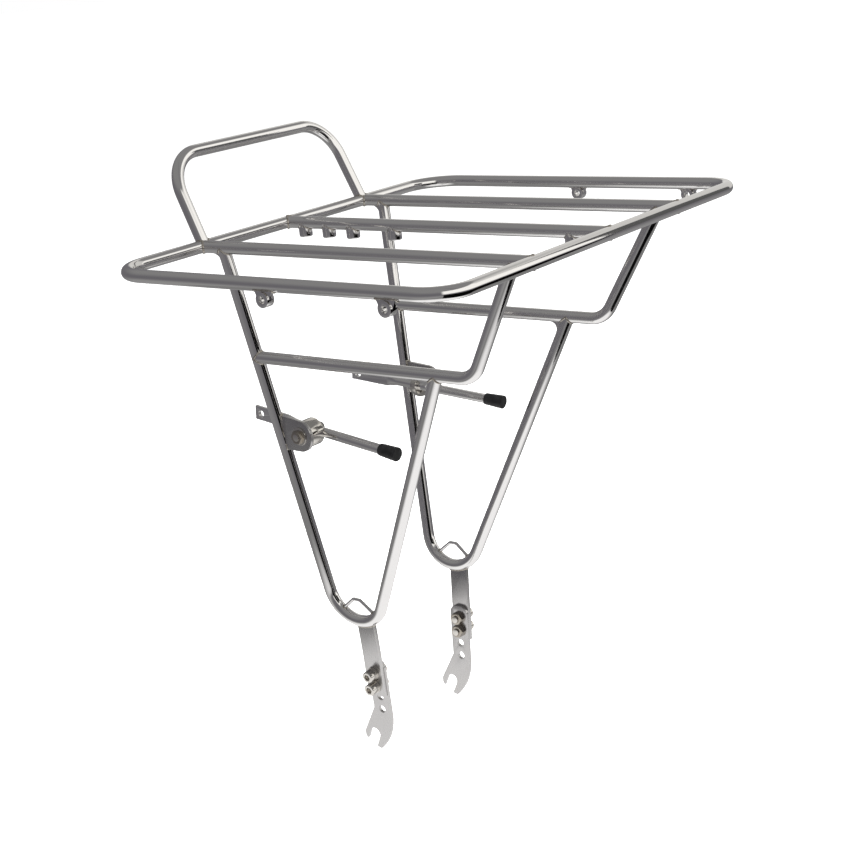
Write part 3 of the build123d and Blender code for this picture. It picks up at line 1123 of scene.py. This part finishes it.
# ---------------- studio
@dataclass(frozen=True)
class Card:
    """A soft-edged patch of the studio's surroundings, by compass direction from +Y towards +X and height."""

    azimuth: float
    half_width: float
    low: float
    high: float
    softness: float
    colour: str
    strength: float


@dataclass(frozen=True)
class Fade:
    """How a board's light falls from full to a share of it, between two distances from a place."""

    x: float
    y: float
    near: float
    far: float
    rest: float


@dataclass
class Studio:
    """Pale floor, soft surroundings, soft lamps and the camera."""

    camera_place: tuple[float, float, float] = (814.6, -956.0, 637.1)
    azimuth: float = 38.84
    elevation: float = 17.03
    roll: float = -5.86
    lens: float = 66.48
    floor_size: float = 30000.0
    floor_height: float = -13.6
    floor_glow: float = 0.72
    table_gap: float = 0.5
    flags_x: float = 395.0
    room_colour: tuple[float, float, float, float] = (0.17, 0.165, 0.18, 1.0)
    rack_middle: tuple[float, float, float] = (60.0, 0.0, 220.0)
    sensor: float = 36.0
    cards: list[Card] = field(
        default_factory=lambda: [
            # grey room, lighter towards the ceiling and the floor
            Card(-90, 180, 25, 100, 20, "#FFFFFF", 0.27),
            Card(-90, 180, -100, -22, 18, "#FFFFFF", 0.33),
            # white backdrop behind and to the front of the rack
            Card(45, 88, -3, 37, 5, "#FFFEFA", 0.74),
            Card(80, 52, -3, 37, 5, "#FFFEFA", 1.2),
        ]
    )

    def surroundings(self) -> None:
        """Makes the room that the steel reflects: grey, with a long white backdrop. The camera sees white."""
        world = bpy.data.worlds.new("studio")
        bpy.context.scene.world = world
        world.use_nodes = True
        tree = world.node_tree
        tree.nodes.clear()
        direction = add(tree, "ShaderNodeTexCoord").outputs["Generated"]
        parts = add(tree, "ShaderNodeSeparateXYZ", {0: direction})
        height = add(tree, "ShaderNodeMath", {0: parts.outputs["Z"]}, operation="ARCSINE")
        flat = add(tree, "ShaderNodeCombineXYZ", {"X": parts.outputs["X"], "Y": parts.outputs["Y"]})
        heading = add(tree, "ShaderNodeVectorMath", {0: flat.outputs[0]}, operation="NORMALIZE")
        colour = add(tree, "ShaderNodeRGB")
        colour.outputs[0].default_value = self.room_colour
        so_far = colour.outputs[0]
        for card in self.cards:
            turn = math.radians(card.azimuth)
            facing = add(
                tree,
                "ShaderNodeVectorMath",
                {0: heading.outputs[0], 1: (math.sin(turn), math.cos(turn), 0)},
                operation="DOT_PRODUCT",
            )
            angle = add(tree, "ShaderNodeMath", {0: facing.outputs["Value"]}, operation="ARCCOSINE")
            edge = math.radians(card.softness)
            half, low, high = (math.radians(v) for v in (card.half_width, card.low, card.high))
            mask: Any = 1.0
            for measure, outside, inside in (
                (angle.outputs[0], half + edge, half - edge),
                (height.outputs[0], low - edge, low + edge),
                (height.outputs[0], high + edge, high - edge),
            ):
                step = add(
                    tree,
                    "ShaderNodeMapRange",
                    {"Value": measure, "From Min": outside, "From Max": inside},
                    interpolation_type="SMOOTHSTEP",
                )
                both = add(tree, "ShaderNodeMath", {0: mask, 1: step.outputs[0]}, operation="MULTIPLY")
                mask = both.outputs[0]
            red, green, blue, alpha = linear(card.colour)
            bright = (red * card.strength, green * card.strength, blue * card.strength, alpha)
            mix = add(
                tree,
                "ShaderNodeMix",
                {0: mask, 6: so_far, 7: bright},
                data_type="RGBA",
                clamp_result=False,
            )
            so_far = mix.outputs[2]
        room = add(tree, "ShaderNodeBackground", {"Color": so_far, "Strength": 1.0})
        plain = add(tree, "ShaderNodeBackground", {"Color": (1, 1, 1, 1), "Strength": 1.0})
        seen = add(tree, "ShaderNodeLightPath")
        both = add(
            tree,
            "ShaderNodeMixShader",
            {0: seen.outputs["Is Camera Ray"], 1: room.outputs[0], 2: plain.outputs[0]},
        )
        add(tree, "ShaderNodeOutputWorld", {0: both.outputs[0]})

    def sheet(
        self, name: str, corners: list[Vector], finish: str
    ) -> tuple[bpy.types.Object, bpy.types.NodeTree]:
        """A flat four-cornered sheet with an empty material.

        Args:
            name: the sheet's name.
            corners: its four corners, in millimetres.
            finish: the material's name.

        Returns:
            The sheet and its material's node tree.
        """
        mesh = bpy.data.meshes.new(name)
        mesh.from_pydata([c * MM for c in corners], [], [(0, 1, 2, 3)])
        made = bpy.data.materials.new(finish)
        made.use_nodes = True
        made.node_tree.nodes.clear()
        mesh.materials.append(made)
        return put(name, mesh), made.node_tree

    def board(self, name: str, corners: list[Vector], strength: float, fade: Fade | None = None) -> None:
        """A flat board that gives out light, seen only in reflections.

        Args:
            name: the board's name.
            corners: its four corners, in millimetres.
            strength: its brightness.
            fade: how the brightness falls away from a place on it, if it isn't even.
        """
        item, tree = self.sheet(name, corners, name)
        glow = add(tree, "ShaderNodeEmission", {"Color": (1, 1, 1, 1), "Strength": strength})
        if fade:
            place = add(tree, "ShaderNodeTexCoord").outputs["Object"]
            away = add(
                tree,
                "ShaderNodeVectorMath",
                {0: place, 1: Vector((fade.x, fade.y, self.floor_height)) * MM},
                operation="DISTANCE",
            )
            level = add(
                tree,
                "ShaderNodeMapRange",
                {
                    "Value": away.outputs["Value"],
                    "From Min": fade.near * MM,
                    "From Max": fade.far * MM,
                    "To Min": strength,
                    "To Max": strength * fade.rest,
                },
                interpolation_type="SMOOTHSTEP",
            )
            tree.links.new(level.outputs["Result"], glow.inputs["Strength"])
        add(tree, "ShaderNodeOutputMaterial", {0: glow.outputs[0]})
        item.visible_camera = False
        item.visible_diffuse = False
        item.visible_shadow = False

    def floor(self) -> None:
        """A pale floor that fades into the white surroundings, with soft contact shade."""
        size = self.floor_size
        ends = ((-size, -size), (size, -size), (size, size), (-size, size))
        corners = [Vector((x, y, self.floor_height)) for x, y in ends]
        item, tree = self.sheet("floor", corners, "pale_floor")
        paint = add(tree, "ShaderNodeBsdfDiffuse", {"Color": linear("#F4F4F4")})
        glow = add(tree, "ShaderNodeEmission", {"Color": linear("#FFFFFF"), "Strength": self.floor_glow})
        both = add(tree, "ShaderNodeAddShader", {0: paint.outputs[0], 1: glow.outputs[0]})
        add(tree, "ShaderNodeOutputMaterial", {0: both.outputs[0]})
        item.visible_glossy = False

    def lamp(self, name: str, place: Vector, size: float, power: float) -> None:
        """A large soft lamp aimed at the middle of the rack.

        Args:
            name: the lamp's name.
            place: where it hangs.
            size: the length of its side.
            power: its power in watts.
        """
        data = bpy.data.lights.new(name, "AREA")
        data.energy = power
        data.size = size * MM
        item = put(name, data)
        item.location = place * MM
        item.rotation_euler = (Vector(self.rack_middle) - place).to_track_quat("-Z", "Y").to_euler()
        item.visible_glossy = False
        item.visible_camera = False

    def camera(self) -> None:
        """Places the camera by its compass direction, height and roll."""
        turn, rise, roll = (math.radians(v) for v in (self.azimuth, self.elevation, self.roll))
        back = Vector((math.sin(turn) * math.cos(rise), -math.cos(turn) * math.cos(rise), math.sin(rise)))
        right = Vector((math.cos(turn), math.sin(turn), 0))
        up = back.cross(right)
        level_right = right * math.cos(roll) + up * math.sin(roll)
        level_up = up * math.cos(roll) - right * math.sin(roll)
        data = bpy.data.cameras.new("camera")
        data.sensor_width = self.sensor
        data.lens = self.lens
        data.clip_start = 0.05
        data.clip_end = 100.0
        item = put("camera", data)
        matrix = Matrix((level_right, level_up, back)).transposed().to_4x4()
        matrix.translation = Vector(self.camera_place) * MM
        item.matrix_world = matrix
        bpy.context.scene.camera = item

    def build(self) -> None:
        """Builds the studio."""
        self.surroundings()
        self.floor()
        rear, front, half = -450, 620, 600
        top = self.floor_height + self.table_gap
        ends = ((rear, -half), (front, -half), (front, half), (rear, half))
        corners = [Vector((x, y, top)) for x, y in ends]
        fade = Fade(x=120.0, y=-100.0, near=180.0, far=440.0, rest=0.22)
        self.board("white_table", corners, strength=1.12, fade=fade)
        for name, (near, far, bottom, top), strength in (
            ("black_flag", (-340, 90, 0, 380), 0.0015),
            ("black_flag_high", (90, 260, 190, 380), 0.0015),
            ("grey_card", (230, 560, 390, 660), 0.115),
        ):
            across = [(near, bottom), (far, bottom), (far, top), (near, top)]
            self.board(name, [Vector((self.flags_x, y, z)) for y, z in across], strength)
        self.lamp("key", Vector((-700, -900, 1700)), size=1400, power=60)
        self.lamp("fill", Vector((1400, 700, 1500)), size=1600, power=50)
        self.camera()
        bpy.context.scene.view_settings.view_transform = "Standard"


def main() -> None:
    """Builds the rack's looks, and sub-assembly by sub-assembly."""
    logging.basicConfig(level=logging.INFO, format="%(name)s %(message)s")
    tubes = TubeFrame()
    tubes.build()
    TigWelds(tubes).build()
    SoftenedParts().build()
    Studio().build()
    bpy.context.view_layer.update()


if __name__ == "__main__":
    main()
